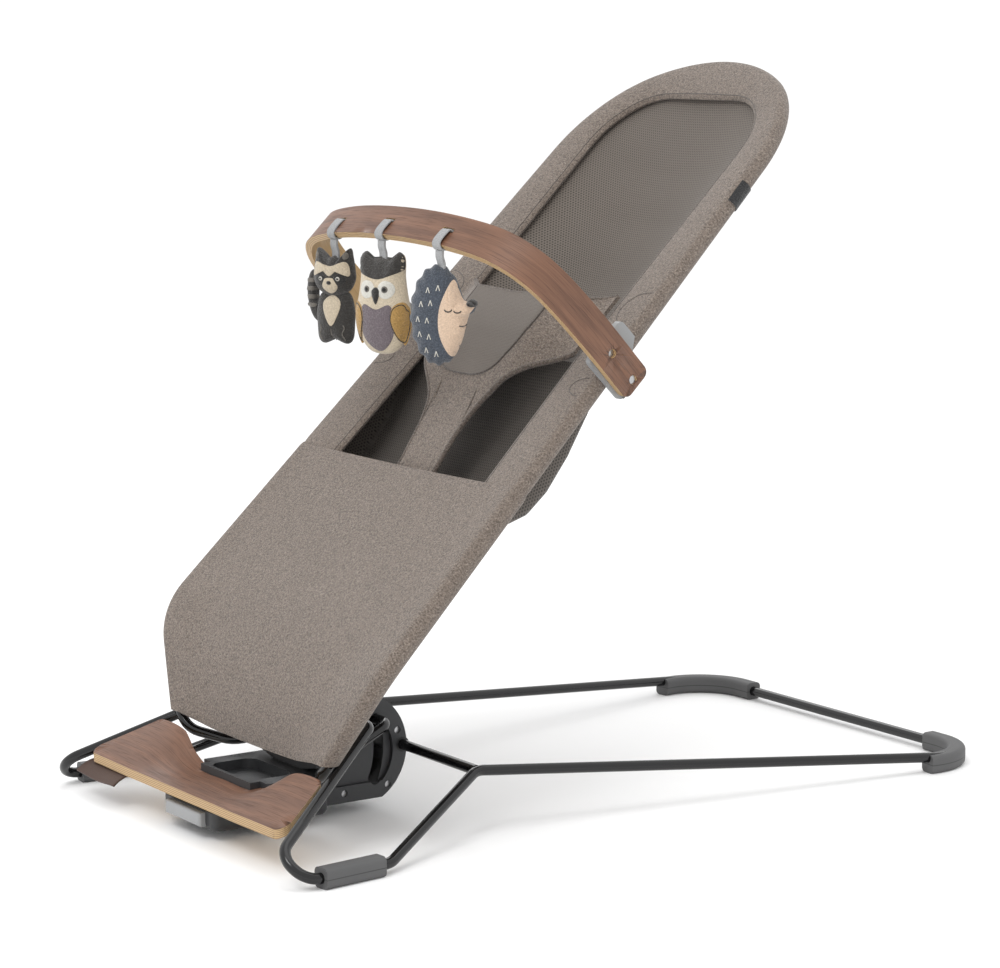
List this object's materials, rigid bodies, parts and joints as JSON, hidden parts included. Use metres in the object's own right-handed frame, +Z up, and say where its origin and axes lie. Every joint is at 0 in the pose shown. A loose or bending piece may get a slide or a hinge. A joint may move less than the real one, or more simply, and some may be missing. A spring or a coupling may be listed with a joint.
{
  "type": "baby bouncer seat",
  "caption": "Baby bouncer seat with a springing rod base, foot pedal, reclining fabric seat and a plywood toy bar with three felt animals.",
  "frame": {"origin": "on the floor, mid-width of the base and mid-way along it", "axes": "+X to the sitter's left, +Y towards the head end, +Z up"},
  "size_m": [0.4486, 0.7711, 0.6592],
  "materials": {
    "black_rod": "gloss",
    "grey_rubber": "matte",
    "charcoal_plastic": "matte",
    "black_plastic": "matte",
    "light_grey_plastic": "satin",
    "steel": "satin",
    "spring_steel": "satin",
    "walnut_ply": "satin",
    "dark_leather": "matte",
    "heather_fabric": "matte",
    "mesh_fabric": "matte",
    "label_fabric": "matte",
    "grey_webbing": "matte",
    "charcoal_felt": "matte",
    "cream_felt": "matte",
    "slate_felt": "matte"
  },
  "bodies": {
    "base": {"side_frame_left": "black_rod", "side_frame_right": "black_rod", "rear_rail": "black_rod", "cross_rod": "black_rod", "front_sleeve_left": "grey_rubber", "front_sleeve_right": "grey_rubber", "rear_sleeve_left": "grey_rubber", "rear_sleeve_right": "grey_rubber"},
    "hub": {"hub_core": "charcoal_plastic", "side_plate_left": "charcoal_plastic", "side_plate_right": "charcoal_plastic", "plate_screws_left": "steel", "plate_screws_right": "steel", "axle_bush_left": "black_plastic", "axle_bush_right": "black_plastic", "hinge_bracket": "charcoal_plastic", "foot_pedal": "walnut_ply", "pedal_screws": "steel", "leather_tab": "dark_leather", "tray": "charcoal_plastic", "belly": "charcoal_plastic", "spring_post": "charcoal_plastic", "button_spring": "spring_steel", "spring_leg_left": "black_rod", "spring_leg_right": "black_rod"},
    "button": {"release_button": "light_grey_plastic", "push_rod": "steel"},
    "seat": {"seat_frame": "black_rod", "recline_pins": "steel", "cover_edge": "heather_fabric", "front_panel": "heather_fabric", "seat_border": "heather_fabric", "back_mesh": "mesh_fabric", "sling_pouch": "mesh_fabric", "bib_panel": "heather_fabric", "bib_mesh": "mesh_fabric", "harness_arm_left": "heather_fabric", "harness_arm_right": "heather_fabric", "side_label": "label_fabric", "harness_toggles": "light_grey_plastic"},
    "toy_bar_body": {"toy_bar": "walnut_ply", "bar_clamp_left": "light_grey_plastic", "bar_clamp_right": "light_grey_plastic", "bar_screws_left": "steel", "bar_screws_right": "steel", "strap_raccoon": "grey_webbing", "strap_owl": "grey_webbing", "strap_hedgehog": "grey_webbing"},
    "raccoon": {"toy_raccoon": "charcoal_felt"},
    "owl": {"toy_owl": "cream_felt"},
    "hedgehog": {"toy_hedgehog": "slate_felt"}
  },
  "joints": [
    {"name": "bounce", "type": "hinge", "parent": "base", "child": "hub", "pos_m": [0, -0.16, 0.0569], "axis": [1, 0, 0], "range_deg": [-3, 1.4], "stiffness_Nm_per_rad": 300, "springref_deg": 0.08, "deforming": ["spring_leg_left", "spring_leg_right"]},
    {"name": "recline", "type": "hinge", "parent": "hub", "child": "seat", "pos_m": [0, -0.255, 0.0575], "axis": [1, 0, 0], "range_deg": [-44, 0]},
    {"name": "button_press", "type": "slide", "parent": "hub", "child": "button", "axis": [0, 1, 0], "range_m": [0, 0.0045], "stiffness_N_per_m": 600, "springref_m": -0.002, "deforming": ["button_spring"]},
    {"name": "toy_bar_lift", "type": "slide", "parent": "seat", "child": "toy_bar_body", "axis": [0, -0.7009, 0.7133], "range_m": [0, 0.06]},
    {"name": "raccoon_swing", "type": "hinge", "parent": "toy_bar_body", "child": "raccoon", "pos_m": [-0.087, -0.15446, 0.49025], "axis": [1, 0, 0], "range_deg": [-25, 25]},
    {"name": "owl_swing", "type": "hinge", "parent": "toy_bar_body", "child": "owl", "pos_m": [0, -0.15845, 0.49431], "axis": [1, 0, 0], "range_deg": [-25, 25]},
    {"name": "hedgehog_swing", "type": "hinge", "parent": "toy_bar_body", "child": "hedgehog", "pos_m": [0.087, -0.15446, 0.49025], "axis": [1, 0, 0], "range_deg": [-25, 25]}
  ]
}
